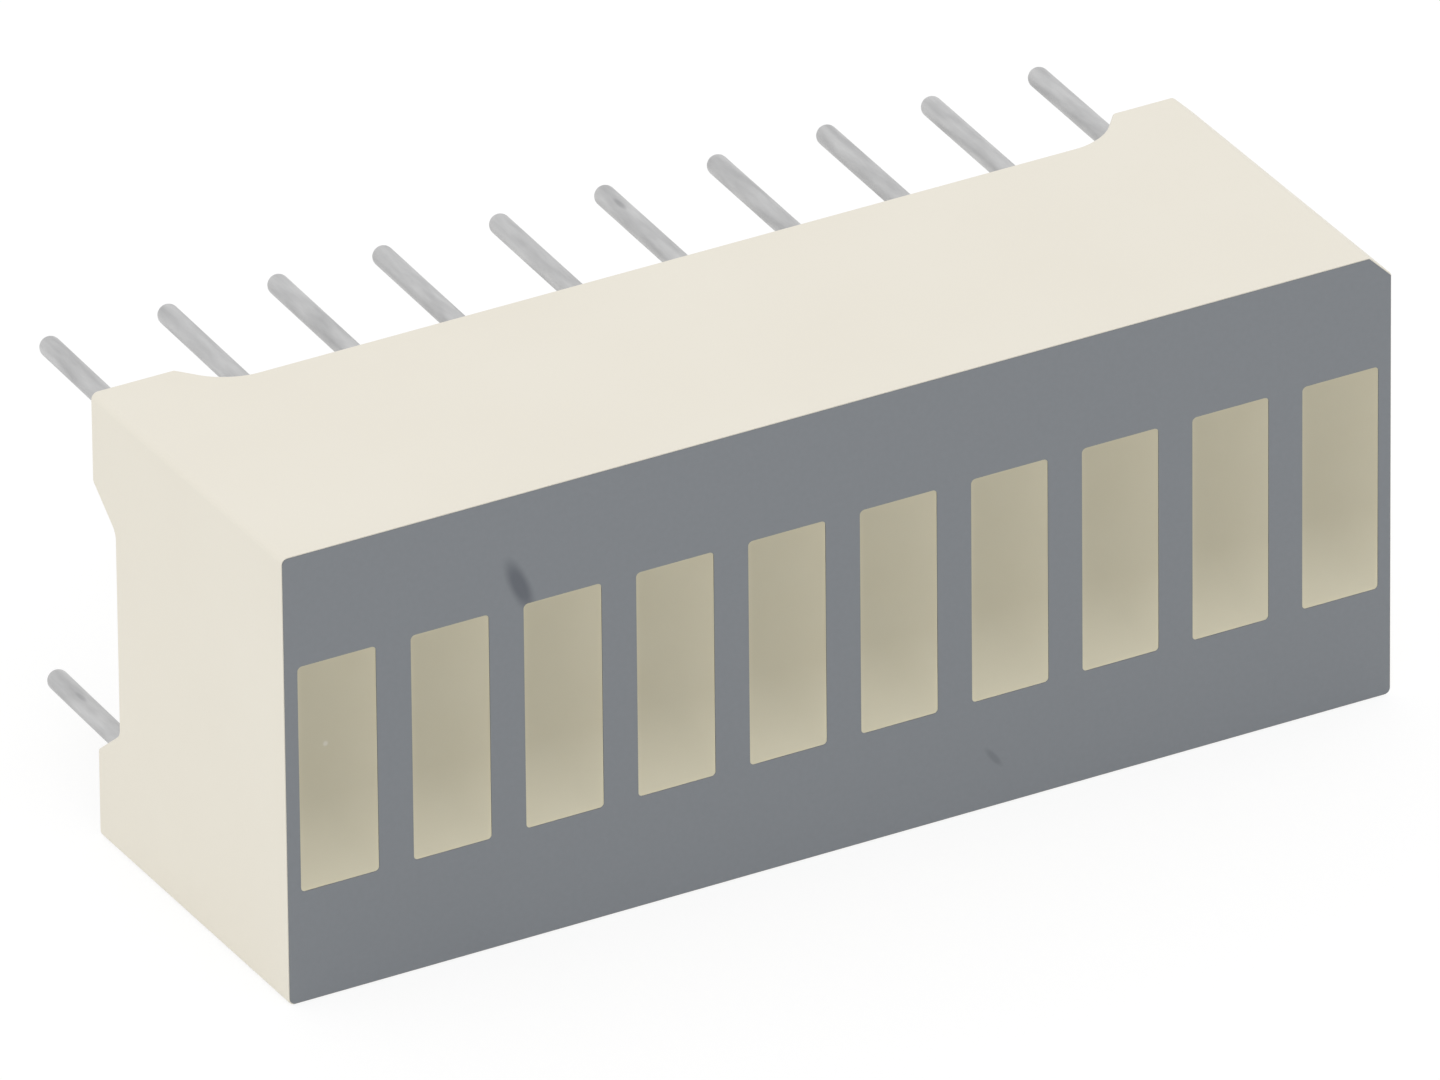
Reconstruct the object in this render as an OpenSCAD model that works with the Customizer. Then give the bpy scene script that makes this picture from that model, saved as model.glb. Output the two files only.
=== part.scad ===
// LED bar graph: ten light segments in one moulded housing, with two rows of pins.
// The bar lies on its long side: +X runs along it, the face looks to -Y and the pins point to +Y.
// The origin is the middle of the pin pattern, on the plane of the foot tips.

/* [Segments] */
// Number of light segments, each with one pin in either row
segments = 10; // [2:1:10]
// Distance from one segment to the next, and from one pin to the next
pitch = 2.54; // [2.2:0.01:4]
// Width of a window in the printed face
window_w = 1.76; // [1:0.02:1.9]
// Height of a window in the printed face
window_h = 5.08; // [3.5:0.02:7]
// Corner radius of a window
window_r = 0.1; // [0.08:0.01:0.3]
// Strip of housing left unprinted round each well, inside its window
window_land = 0.04; // [0.01:0.01:0.06]
// How far the resin in a window lies below the print
resin_recess = 0.01; // [0.002:0.002:0.014]

/* [Housing] */
// Depth from the foot tips to the printed face
body_depth = 7.92; // [6.5:0.02:12]
// Distance from a pin row to the long side next to it
row_edge = 1.24; // [1.1:0.02:2.5]
// Gap that is left between two bars set end to end on one pitch
end_gap = 0.15; // [0:0.01:0.4]
// Thickness of the wall round the board pocket
wall = 0.6; // [0.4:0.02:0.65]
// Radius of the housing's long edges
corner_r = 0.15; // [0.1:0.01:0.5]
// Bevel of the long edge that marks the first pin
bevel = 0.5; // [0.4:0.02:0.7]
// Radius in the corners of the board pocket
pocket_r = 0.5; // [0.4:0.02:0.6]

/* [Reflector wells] */
// Depth of the straight mouth of a well
mouth_d = 0.5; // [0.2:0.05:1]
// Step between the mouth and the funnel behind it
mouth_step = 0.05; // [0.03:0.01:0.06]
// Width of the funnel where it meets the board
funnel_back_w = 1; // [0.6:0.05:1.2]
// Height of the funnel where it meets the board
funnel_back_h = 2.6; // [2:0.05:3.2]

/* [Feet] */
// Height of the feet over the rim between them
foot_h = 0.92; // [0.4:0.02:1.5]
// Length of a foot tip along the bar
foot_len = 1.88; // [1.4:0.02:2.2]
// Width of a foot tip across the bar
foot_w = 2; // [1.4:0.02:2.4]
// Slope of a foot's flank along the bar
foot_run_len = 0.75; // [0:0.05:1.5]
// Slope of a foot's flank across the bar
foot_run_w = 0.75; // [0:0.05:1.2]
// Radius between the rim and a flank along the bar
foot_fillet_len = 1.3; // [0.1:0.05:1.5]
// Radius between the rim and a flank across the bar
foot_fillet_w = 0.3; // [0.1:0.05:0.4]

/* [Face print] */
// Thickness of the grey print on the face
print_t = 0.03; // [0.02:0.01:0.1]
// Bare edge left round the print
print_margin = 0.03; // [0.01:0.01:0.08]

/* [Board and potting] */
// Thickness of the circuit board
board_t = 1; // [0.6:0.05:1.6]
// Clearance between the board's edge and the pocket wall
board_gap = 0.08; // [0.02:0.01:0.12]
// Clearance between a pin and its hole in the board
hole_gap = 0.04; // [0.01:0.01:0.1]
// Thickness of the potting over the board
potting_t = 0.45; // [0.2:0.05:0.6]
// How far the potting lies below the rim
potting_recess = 0.1; // [0:0.02:0.4]

/* [Pins] */
// Distance between the two pin rows
row_spacing = 7.62; // [6.6:0.01:12]
// Length of a pin beyond the foot tips
pin_reach = 4.27; // [2.5:0.02:15]
// Diameter of the pin wire
wire_d = 0.43; // [0.3:0.01:0.5]
// Thickness of the tin that the free leg was dipped in
tin_t = 0.012; // [0.005:0.001:0.03]
// Height of a solder joint over the board
solder_h = 0.55; // [0.3:0.05:0.8]
// Radius of a solder joint on the board
solder_r = 0.48; // [0.35:0.01:0.5]
// Thickness of the solder round a pin at the joint's top
solder_lip = 0.04; // [0.01:0.01:0.08]

/* [Dies] */
// Width of a light-emitting die
die_w = 0.3; // [0.2:0.01:0.5]
// Height of a die over the board
die_h = 0.25; // [0.1:0.01:0.4]
// Thickness of a bond wire
bond_t = 0.03; // [0.02:0.005:0.05]
// Distance from the die to the wire's foot on the board
bond_span = 0.8; // [0.5:0.05:0.9]
// Rise of the bond wire over the die
bond_rise = 0.3; // [0.15:0.05:0.6]

/* [Hidden] */
$fn = 64;
// Extra length of a cut past the face it opens
over = 0.05;
// Straight runs in the bend of a bond wire
bond_steps = 10;

// Outside of the housing, from the pin pattern
body_len = segments * pitch - end_gap;
body_h = row_spacing + 2 * row_edge;
pocket_len = body_len - 2 * wall;
pocket_h = body_h - 2 * wall;

// Levels along the depth, from the face to the foot tips at zero
y_face = -body_depth;
y_resin = y_face + resin_recess;
y_front = y_face + print_t;
y_mouth = y_front + mouth_d;
y_rim = -foot_h;
y_potting = y_rim - potting_recess;
y_board_back = y_potting - potting_t;
y_board = y_board_back - board_t;

// Wells
well_w = window_w - 2 * window_land;
well_h = window_h - 2 * window_land;
well_r = window_r - window_land;

// Pins
pins = 2 * segments;
wire_r = wire_d / 2;
leg_r = wire_r + tin_t;

function segment_x(i) = ((segments + 1) / 2 - i) * pitch;
function pin_x(p) = segment_x(p <= segments ? p : pins + 1 - p);
function pin_z(p) = (p <= segments ? 1 : -1) * row_spacing / 2;
function numbered(name, count) = [for (i = [1 : count]) str(name, "_", i)];

// Extrudes an outline drawn in X and Z from depth y0 to depth y1
module along_y(y0, y1) {
    translate([0, y1, 0])
        rotate([90, 0, 0])
            linear_extrude(y1 - y0)
                children();
}

// Extrudes an outline drawn in X and Y over a length centred on Z
module across_z(length) {
    linear_extrude(length, center = true)
        children();
}

// Extrudes an outline drawn in Z and Y over a length centred on X
module across_x(length) {
    rotate([0, 90, 0])
        linear_extrude(length, center = true)
            children();
}

module at_segment(i) {
    translate([segment_x(i), 0, 0])
        children();
}

// Stands its children on a pin's axis, with their own +Z along the pin
module on_pin_axis(p) {
    translate([pin_x(p), 0, pin_z(p)])
        rotate([-90, 0, 0])
            children();
}

module rounded_rect(length, height, r) {
    square([length - 2 * r, height], center = true);
    square([length, height - 2 * r], center = true);
    for (sx = [-1, 1], sz = [-1, 1])
        translate([sx * (length / 2 - r), sz * (height / 2 - r)])
            circle(r);
}

// Housing outline seen from the face, drawn inwards by inset, with the first pin's corner bevelled
module body_outline(inset = 0) {
    right = body_len / 2 - inset;
    top = body_h / 2 - inset;
    leg = bevel - inset * (2 - sqrt(2));
    difference() {
        rounded_rect(2 * right, 2 * top, corner_r - inset);
        polygon([
            [right - leg - over, top + over],
            [right + over, top + over],
            [right + over, top - leg - over]
        ]);
    }
}

module pocket_outline(inset = 0) {
    rounded_rect(pocket_len - 2 * inset, pocket_h - 2 * inset, pocket_r - inset);
}

// Symmetric strip that is half0 wide to either side at depth y0 and half1 at y1,
// carried on at the same slope by extra past both ends
module tapered_strip(y0, half0, y1, half1, extra0 = 0, extra1 = 0) {
    slope = (half1 - half0) / (y1 - y0);
    start = half0 - slope * extra0;
    end = half1 + slope * extra1;
    polygon([
        [-start, y0 - extra0],
        [start, y0 - extra0],
        [end, y1 + extra1],
        [-end, y1 + extra1]
    ]);
}

// Funnel of a reflector well: four flat walls that close in towards the board. It starts inside
// the mouth, and extra carries it on past the board
module funnel(extra = 0) {
    intersection() {
        across_z(well_h)
            tapered_strip(y_mouth, well_w / 2 - mouth_step, y_board, funnel_back_w / 2, over, extra);
        across_x(well_w)
            tapered_strip(y_mouth, well_h / 2 - mouth_step, y_board, funnel_back_h / 2, over, extra);
    }
}

// Room of one reflector well, from depth y0; extra opens it past the board
module well(y0, extra = 0) {
    along_y(y0, y_mouth)
        rounded_rect(well_w, well_h, well_r);
    funnel(extra);
}

module window_outline() {
    rounded_rect(window_w, window_h, window_r);
}

// Outline of a gap between two feet, half wide to either side at the foot tips. Its flanks close in
// by run towards the rim, which they meet in a round of radius fillet
module gap_outline(half, run, fillet) {
    turn = atan2(foot_h, run);
    reach = fillet * tan(turn / 2);
    foot = half - run;
    rise = reach * sin(turn);
    flank = foot + reach * cos(turn);
    difference() {
        tapered_strip(y_rim, foot, 0, half, 0, over);
        for (side = [-1, 1])
            polygon([
                [side * (foot - reach), y_rim],
                [side * (foot - reach), y_rim - over],
                [side * (flank + over), y_rim - over],
                [side * (flank + over), y_rim + rise],
                [side * flank, y_rim + rise]
            ]);
    }
    for (side = [-1, 1])
        translate([side * (foot - reach), y_rim + fillet])
            circle(fillet);
}

// Gaps cut into the rim on all four sides, which leave the corner feet standing
module foot_gaps() {
    across_z(body_h + 2 * over)
        gap_outline(body_len / 2 - foot_len, foot_run_len, foot_fillet_len);
    across_x(body_len + 2 * over)
        gap_outline(body_h / 2 - foot_w, foot_run_w, foot_fillet_w);
}

module housing() {
    color("#E8E3D7")
        difference() {
            along_y(y_front, 0)
                body_outline();
            along_y(y_board, over)
                pocket_outline();
            for (i = [1 : segments])
                at_segment(i)
                    well(y_front - over, over);
            foot_gaps();
        }
}

module face_print() {
    color("#7F8286")
        along_y(y_face, y_front)
            difference() {
                body_outline(print_margin);
                for (i = [1 : segments])
                    translate([segment_x(i), 0])
                        window_outline();
            }
}

// Die on the board behind a well; extra sinks its foot into the board
module die_block(extra = 0) {
    translate([-die_w / 2, y_board - die_h, -die_w / 2])
        cube([die_w, die_h + extra, die_w]);
}

// Points of one edge of the wire's bend, t away from its middle line
function bend(t) = [
    for (k = [0 : bond_steps])
        let (turn = 180 * k / bond_steps)
            [(bond_span / 2) - (bond_span / 2 + t) * cos(turn), -(bond_rise + t) * sin(turn)]
];

// Bond wire: up from the die in a half loop and down to the board, flat sided
module bond_loop(extra = 0) {
    outer = bend(bond_t / 2);
    inner = bend(-bond_t / 2);
    foot_y = die_h + extra;
    translate([0, y_board - die_h, 0])
        across_x(bond_t)
            polygon(concat(
                outer,
                [[bond_span + bond_t / 2, foot_y], [bond_span - bond_t / 2, foot_y]],
                [for (k = [bond_steps : -1 : 0]) inner[k]]
            ));
}

// Resin fills the window as well as the well behind it, and is cut free of the die and its wire
module segment(i) {
    color("#B9B39C")
        at_segment(i)
            difference() {
                union() {
                    along_y(y_resin, y_front)
                        window_outline();
                    well((y_resin + y_front) / 2);
                }
                die_block(over);
                bond_loop(over);
            }
}

module led_die(i) {
    color("#D8C27A")
        at_segment(i)
            die_block();
}

module bond_wire(i) {
    color("#D4AF37")
        at_segment(i)
            bond_loop();
}

module circuit_board() {
    color("#D9D2B4")
        difference() {
            along_y(y_board, y_board_back)
                pocket_outline(board_gap);
            for (p = [1 : pins])
                on_pin_axis(p)
                    translate([0, 0, y_board - over])
                        cylinder(r = wire_r + hole_gap, h = board_t + 2 * over);
        }
}

// Solder round one pin, with the pin's own room filled
module solder_cone() {
    translate([0, 0, y_board_back])
        cylinder(r1 = solder_r, r2 = wire_r + solder_lip, h = solder_h);
}

module solder_joints() {
    color("#C9CBCC")
        for (p = [1 : pins])
            on_pin_axis(p)
                difference() {
                    solder_cone();
                    translate([0, 0, y_board])
                        cylinder(r = wire_r, h = -y_board);
                }
}

module back_potting() {
    color("#CFC9B2")
        difference() {
            along_y(y_board_back, y_potting)
                pocket_outline();
            for (p = [1 : pins])
                on_pin_axis(p) {
                    solder_cone();
                    translate([0, 0, y_board])
                        cylinder(r = wire_r, h = -y_board);
                }
        }
}

// Half section of a pin: the tinned leg with its round end, and the bare wire back to the board
module pin_profile() {
    square([leg_r, pin_reach - leg_r]);
    translate([0, pin_reach - leg_r])
        intersection() {
            circle(leg_r);
            square(leg_r);
        }
    translate([0, y_board])
        square([wire_r, -y_board]);
}

module pin(p) {
    color("#BCBCBC")
        on_pin_axis(p)
            rotate_extrude()
                pin_profile();
}

housing();
face_print();
circuit_board();
solder_joints();
back_potting();
for (p = [1 : pins])
    pin(p);
for (i = [1 : segments])
    segment(i);
for (i = [1 : segments])
    led_die(i);
for (i = [1 : segments])
    bond_wire(i);
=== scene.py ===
"""Looks of a ten-segment LED bar graph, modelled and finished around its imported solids.

On the bench all sizes are in millimetres, in the part's own frame: +X runs along the bar towards
the bevelled corner, the printed face looks to -Y, the pins point to +Y and +Z is up. A finished
piece is scaled to metres and handed to the frame.
"""

import logging
import math
from contextlib import contextmanager
from dataclasses import dataclass
from enum import Enum
from typing import Any, Callable, Iterator, Sequence

import bmesh
import bpy
from mathutils import Matrix, Vector


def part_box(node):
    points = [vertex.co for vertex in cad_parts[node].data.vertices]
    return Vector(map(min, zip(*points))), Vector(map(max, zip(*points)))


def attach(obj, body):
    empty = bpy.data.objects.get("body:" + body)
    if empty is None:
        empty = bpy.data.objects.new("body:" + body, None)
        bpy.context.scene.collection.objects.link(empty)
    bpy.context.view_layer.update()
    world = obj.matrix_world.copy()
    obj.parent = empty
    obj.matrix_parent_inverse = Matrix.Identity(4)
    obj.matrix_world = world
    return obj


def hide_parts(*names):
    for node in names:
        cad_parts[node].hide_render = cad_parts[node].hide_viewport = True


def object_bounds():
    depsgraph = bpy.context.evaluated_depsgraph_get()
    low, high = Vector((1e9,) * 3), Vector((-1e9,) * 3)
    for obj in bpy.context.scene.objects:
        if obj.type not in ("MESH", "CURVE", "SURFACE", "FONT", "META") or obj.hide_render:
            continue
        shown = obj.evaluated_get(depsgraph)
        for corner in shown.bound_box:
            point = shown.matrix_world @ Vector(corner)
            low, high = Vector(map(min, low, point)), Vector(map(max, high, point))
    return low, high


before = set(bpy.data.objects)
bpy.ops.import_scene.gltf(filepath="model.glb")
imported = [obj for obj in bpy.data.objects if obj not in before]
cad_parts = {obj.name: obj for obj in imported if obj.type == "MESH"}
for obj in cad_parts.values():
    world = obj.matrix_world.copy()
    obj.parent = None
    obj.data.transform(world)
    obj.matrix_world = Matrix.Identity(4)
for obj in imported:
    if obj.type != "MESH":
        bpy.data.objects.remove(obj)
CAD_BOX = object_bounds()

Piece = bpy.types.Object
Tree = bpy.types.NodeTree
Node = bpy.types.Node
Socket = bpy.types.NodeSocket
Colour = tuple[float, float, float, float]

LOG = logging.getLogger("bar_graph")
ROOT = "root"
# One millimetre in the frame's metres
MM = 0.001
# Extra length of a cutter past the face that it opens, and slack in picking parts by their place
OVER = 0.05
# Points closer than this become one
WELD = 0.0005
# Cosine from which a direction counts as one along an axis
ALONG = 0.99
WHITE: Colour = (1.0, 1.0, 1.0, 1.0)
# Finer layers in a noise pattern, from even patches to torn ones
SOFT, CLOUDED, STREAKED = 2.0, 3.0, 4.0
# Sockets of a Mix node that mixes colours
MIX_FACTOR, MIX_A, MIX_B, MIX_RESULT = 0, 6, 7, 2


class Pick(Enum):
    """What a selection in edit mode takes."""

    VERTS = "VERT"
    EDGES = "EDGE"
    FACES = "FACE"


class Slot(Enum):
    """Material slots of the part's record."""

    HOUSING = "housing_plastic"
    RESIN = "segment_resin"
    WIRE = "tinned_wire"
    SOLDER = "solder"
    POTTING = "potting_resin"


@dataclass(frozen=True)
class Box:
    """Lowest and highest corner of a solid, in millimetres."""

    low: Vector
    high: Vector

    @classmethod
    def of_node(cls, node: str) -> "Box":
        """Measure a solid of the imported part.

        Args:
            node: name of the solid's node.

        Returns:
            Its box in millimetres.
        """
        low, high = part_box(node)
        return cls(low / MM, high / MM)

    @property
    def size(self) -> Vector:
        """Lengths of the box's sides."""
        return self.high - self.low

    @property
    def middle(self) -> Vector:
        """Centre of the box."""
        return (self.low + self.high) / 2


# Bench work


def take_up(piece: Piece) -> None:
    """Make a piece the only selected one, and the active one.

    Args:
        piece: the piece to work on.
    """
    bpy.ops.object.select_all(action="DESELECT")
    piece.select_set(True)
    bpy.context.view_layer.objects.active = piece


def start_block(name: str, low: Vector, high: Vector) -> Piece:
    """Add a block that is to be shaped.

    Args:
        name: name of the piece.
        low: its lowest corner.
        high: its highest corner.

    Returns:
        The block, with its place in its mesh.
    """
    bpy.ops.mesh.primitive_cube_add(size=1.0, location=(low + high) / 2, scale=high - low)
    block = bpy.context.object
    block.name = name
    bpy.ops.object.transform_apply(location=True, rotation=True, scale=True)
    return block


def start_rod(name: str, radius: float, start: float, end: float, sides: int) -> Piece:
    """Add a rod along Y that is to be shaped.

    Args:
        name: name of the piece.
        radius: its radius.
        start: depth of its front end.
        end: depth of its back end.
        sides: number of flats round it.

    Returns:
        The rod on the Y axis, with its place in its mesh.
    """
    bpy.ops.mesh.primitive_cylinder_add(
        vertices=sides,
        radius=radius,
        depth=end - start,
        location=(0.0, (start + end) / 2, 0.0),
        rotation=(math.radians(-90.0), 0.0, 0.0),
    )
    rod = bpy.context.object
    rod.name = name
    bpy.ops.object.transform_apply(location=True, rotation=True, scale=True)
    return rod


@contextmanager
def edit_mode(piece: Piece) -> Iterator[None]:
    """Open a piece in edit mode, and close it afterwards.

    Args:
        piece: the piece to shape.
    """
    take_up(piece)
    bpy.ops.object.mode_set(mode="EDIT")
    try:
        yield
    finally:
        bpy.ops.object.mode_set(mode="OBJECT")


def pick(piece: Piece, what: Pick, test: Callable[[Any], bool]) -> None:
    """Select parts of a mesh that is open in edit mode.

    Args:
        piece: the piece that is open.
        what: the kind of part to take.
        test: says of a part whether it is taken.
    """
    bpy.ops.mesh.select_mode(type=what.value)
    bpy.ops.mesh.select_all(action="DESELECT")
    mesh = bmesh.from_edit_mesh(piece.data)
    for part in getattr(mesh, what.value.lower() + "s"):
        if test(part):
            part.select_set(True)
    bmesh.update_edit_mesh(piece.data)


def runs_along_y(edge: bmesh.types.BMEdge) -> bool:
    """Tell whether an edge runs along the depth."""
    return abs((edge.verts[1].co - edge.verts[0].co).normalized().y) > ALONG


def looks_front(face: bmesh.types.BMFace) -> bool:
    """Tell whether a face looks out of the display face."""
    return face.normal.y < -ALONG


def looks_back(face: bmesh.types.BMFace) -> bool:
    """Tell whether a face looks the way the pins point."""
    return face.normal.y > ALONG


def rounded_block(name: str, low: Vector, high: Vector, radius: float, segments: int) -> Piece:
    """Add a block whose edges along the depth are rounded.

    Args:
        name: name of the piece.
        low: its lowest corner.
        high: its highest corner.
        radius: radius of the rounded edges.
        segments: flats in each rounded edge.

    Returns:
        The block.
    """
    block = start_block(name, low, high)
    with edit_mode(block):
        pick(block, Pick.EDGES, runs_along_y)
        bpy.ops.mesh.bevel(offset=radius, segments=segments, affect="EDGES")
    return block


def step_in(direction: float, steps: tuple[tuple[float, float], ...]) -> None:
    """Dish the selected face in rings.

    Args:
        direction: direction of the dish along Y, 1 or -1.
        steps: width and depth of each ring, from the rim inwards.
    """
    for width, depth in steps:
        bpy.ops.mesh.inset(thickness=width)
        bpy.ops.transform.translate(value=(0.0, direction * depth, 0.0))


def draw_out(length: float) -> None:
    """Extrude the selected face along Y."""
    bpy.ops.mesh.extrude_region_move(TRANSFORM_OT_translate={"value": (0.0, length, 0.0)})


def apply_modifier(piece: Piece, kind: str, **settings: Any) -> None:
    """Add a modifier to a piece and apply it.

    Args:
        piece: the piece to change.
        kind: Blender's name of the modifier's type.
        **settings: values set on the modifier.
    """
    take_up(piece)
    modifier = piece.modifiers.new(kind, kind)
    for name, value in settings.items():
        setattr(modifier, name, value)
    bpy.ops.object.modifier_apply(modifier=modifier.name)


def cut(piece: Piece, cutter: Piece) -> None:
    """Cut a shape out of a piece, and throw the cutter away.

    Args:
        piece: the piece to cut.
        cutter: closed shape of what goes.
    """
    apply_modifier(piece, "BOOLEAN", operation="DIFFERENCE", solver="EXACT", object=cutter)
    bpy.data.meshes.remove(cutter.data)


def copy_of(piece: Piece, name: str, shift: Vector) -> Piece:
    """Copy a piece with a mesh of its own.

    Args:
        piece: the piece to copy.
        name: name of the copy.
        shift: way from the piece to its copy.

    Returns:
        The copy.
    """
    copy = piece.copy()
    copy.data = piece.data.copy()
    copy.name = name
    copy.data.transform(Matrix.Translation(shift))
    bpy.context.scene.collection.objects.link(copy)
    return copy


def join(pieces: list[Piece], name: str) -> Piece:
    """Join pieces into one object.

    Args:
        pieces: what is joined.
        name: name of the joined object.

    Returns:
        The joined object.
    """
    take_up(pieces[0])
    for piece in pieces[1:]:
        piece.select_set(True)
    bpy.ops.object.join()
    pieces[0].name = name
    return pieces[0]


def smooth(piece: Piece, degrees: float) -> None:
    """Shade a piece smooth, with flat faces kept flat.

    Args:
        piece: the piece to shade.
        degrees: edges that turn further than this stay sharp.
    """
    take_up(piece)
    bpy.ops.object.shade_smooth_by_angle(angle=math.radians(degrees))
    apply_modifier(piece, "WEIGHTED_NORMAL", keep_sharp=True)


# Finishes


def linear(colour: str) -> Colour:
    """Turn an sRGB hex colour into the linear values of a shader.

    Args:
        colour: hex colour such as "#A0B0C0".

    Returns:
        Red, green, blue and full opacity.
    """
    shares = [int(colour[k : k + 2], 16) / 255 for k in (1, 3, 5)]
    values = [s / 12.92 if s <= 0.04045 else ((s + 0.055) / 1.055) ** 2.4 for s in shares]
    return (values[0], values[1], values[2], 1.0)


def per_mm(size: float) -> float:
    """Give a pattern's scale, in the frame's metres, from the size of its features in millimetres."""
    return 1.0 / (size * MM)


def add_node(tree: Tree, kind: str, inputs: dict[Any, Any] | None = None, **settings: Any) -> Node:
    """Add a node with its settings and links.

    Args:
        tree: the node tree.
        kind: Blender's name of the node's type.
        inputs: value, or output to link, for each named or numbered input.
        **settings: values set on the node itself.

    Returns:
        The node.
    """
    node = tree.nodes.new(kind)
    for name, value in settings.items():
        setattr(node, name, value)
    for name, value in (inputs or {}).items():
        if isinstance(value, Socket):
            tree.links.new(value, node.inputs[name])
        else:
            node.inputs[name].default_value = value
    return node


@dataclass(frozen=True)
class Spot:
    """A long soft spot on a surface, in millimetres."""

    start: tuple[float, float]
    end: tuple[float, float]
    width: float
    strength: float
    # Share of the way to its middle over which the spot comes to its full strength
    fade: float = 0.7

    def mask(self, tree: Tree, place: Socket, depth: float) -> Socket:
        """Draw the spot as a mask.

        Args:
            tree: the node tree.
            place: place of a point, in the frame.
            depth: depth of the surface along Y.

        Returns:
            The mask, up to the spot's strength in its middle.
        """
        start, end = (Vector((x, depth, z)) for x, z in (self.start, self.end))
        run = end - start
        local = add_node(
            tree,
            "ShaderNodeMapping",
            {
                "Vector": place,
                "Location": (start + end) / 2 * MM,
                "Rotation": (0.0, math.atan2(-run.z, run.x), 0.0),
                "Scale": Vector((run.length, self.width, self.width)) / 2 * MM,
            },
            vector_type="TEXTURE",
        )
        rise = add_node(
            tree, "ShaderNodeTexGradient", {"Vector": local.outputs["Vector"]}, gradient_type="SPHERICAL"
        )
        soft = add_node(
            tree,
            "ShaderNodeMapRange",
            {"Value": rise.outputs["Fac"], "From Max": self.fade, "To Max": self.strength},
            interpolation_type="SMOOTHSTEP",
        )
        return soft.outputs["Result"]


@dataclass(frozen=True)
class Finish:
    """A surface of one real material, made one way."""

    name: str
    # Ground, and the patches or lines on it
    colours: tuple[str, str]
    # One roughness, or the two between which it follows the relief
    roughness: float | tuple[float, float]

    def material(self) -> bpy.types.Material:
        """Give the material, which is made at its first use.

        Returns:
            The material.
        """
        made = bpy.data.materials.get(self.name)
        if made is None:
            made = bpy.data.materials.new(self.name)
            made.use_nodes = True
            tree = made.node_tree
            tree.nodes.clear()
            place = add_node(tree, "ShaderNodeTexCoord").outputs["Object"]
            shader = self.paint(tree, place)
            add_node(tree, "ShaderNodeOutputMaterial", {"Surface": shader.outputs[0]})
        return made

    def paint(self, tree: Tree, place: Socket) -> Node:
        """Add the surface's own nodes.

        Args:
            tree: the node tree.
            place: place of a point, in the frame.

        Returns:
            The shader.
        """
        raise NotImplementedError

    def mottle(self, tree: Tree, place: Socket, size_mm: float, layers: float) -> tuple[Socket, Socket]:
        """Mix the two colours in soft patches.

        Args:
            tree: the node tree.
            place: place of a point, in the frame.
            size_mm: size of the patches.
            layers: number of finer layers in them.

        Returns:
            The patches, from zero to one, and the mixed colour.
        """
        patches = add_node(
            tree, "ShaderNodeTexNoise", {"Vector": place, "Scale": per_mm(size_mm), "Detail": layers}
        ).outputs["Fac"]
        ground, patch = (linear(colour) for colour in self.colours)
        mixed = add_node(
            tree, "ShaderNodeMix", {MIX_FACTOR: patches, MIX_A: ground, MIX_B: patch}, data_type="RGBA"
        )
        return patches, mixed.outputs[MIX_RESULT]

    def stain(
        self, tree: Tree, place: Socket, ground: Socket, spots: Sequence[tuple[Spot, float]], colour: str
    ) -> Socket:
        """Lay soft spots over a colour.

        Args:
            tree: the node tree.
            place: place of a point, in the frame.
            ground: colour under the spots.
            spots: the spots, each with its depth along Y.
            colour: hex colour of the spots.

        Returns:
            The stained colour.
        """
        for spot, depth in spots:
            mask = spot.mask(tree, place, depth)
            colours = {MIX_FACTOR: mask, MIX_A: ground, MIX_B: linear(colour)}
            ground = add_node(tree, "ShaderNodeMix", colours, data_type="RGBA").outputs[MIX_RESULT]
        return ground

    def skin(
        self,
        tree: Tree,
        colour: Socket,
        relief: Socket,
        depth_mm: float,
        strength: float = 1.0,
        **values: float,
    ) -> Node:
        """Add a shader with a fine relief.

        Args:
            tree: the node tree.
            colour: colour of the surface.
            relief: height of the relief, from zero to one.
            depth_mm: depth of the relief.
            strength: share of the relief that shows.
            **values: the shader's other values.

        Returns:
            The shader.
        """
        bump = add_node(
            tree, "ShaderNodeBump", {"Height": relief, "Distance": depth_mm * MM, "Strength": strength}
        )
        sockets: dict[str, Any] = {"Base Color": colour, "Normal": bump.outputs["Normal"], **values}
        if isinstance(self.roughness, tuple):
            ends = {"Value": relief, "To Min": self.roughness[0], "To Max": self.roughness[1]}
            sockets["Roughness"] = add_node(tree, "ShaderNodeMapRange", ends).outputs["Result"]
        else:
            sockets["Roughness"] = self.roughness
        return add_node(tree, "ShaderNodeBsdfPrincipled", sockets)


@dataclass(frozen=True)
class MouldedPolyester(Finish):
    """Cream PBT, injection moulded in a spark-eroded tool: even, fine-grained, with a soft sheen."""

    name: str = "pbt_injection_moulded_cream"
    colours: tuple[str, str] = ("#E9E4D7", "#E5DFD1")
    flow_mm: float = 4.0
    # The tool's grain is finer than this, which is as fine as the render can show
    grain_mm: float = 0.09
    grain_depth_mm: float = 0.0015
    roughness: tuple[float, float] = (0.42, 0.52)
    ior: float = 1.55

    def paint(self, tree: Tree, place: Socket) -> Node:
        """Add faint flow marks and the tool's grain.

        Args:
            tree: the node tree.
            place: place of a point, in the frame.

        Returns:
            The shader.
        """
        _, colour = self.mottle(tree, place, self.flow_mm, CLOUDED)
        grain = add_node(
            tree, "ShaderNodeTexNoise", {"Vector": place, "Scale": per_mm(self.grain_mm), "Detail": SOFT}
        )
        return self.skin(tree, colour, grain.outputs["Fac"], self.grain_depth_mm, IOR=self.ior)


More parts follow.
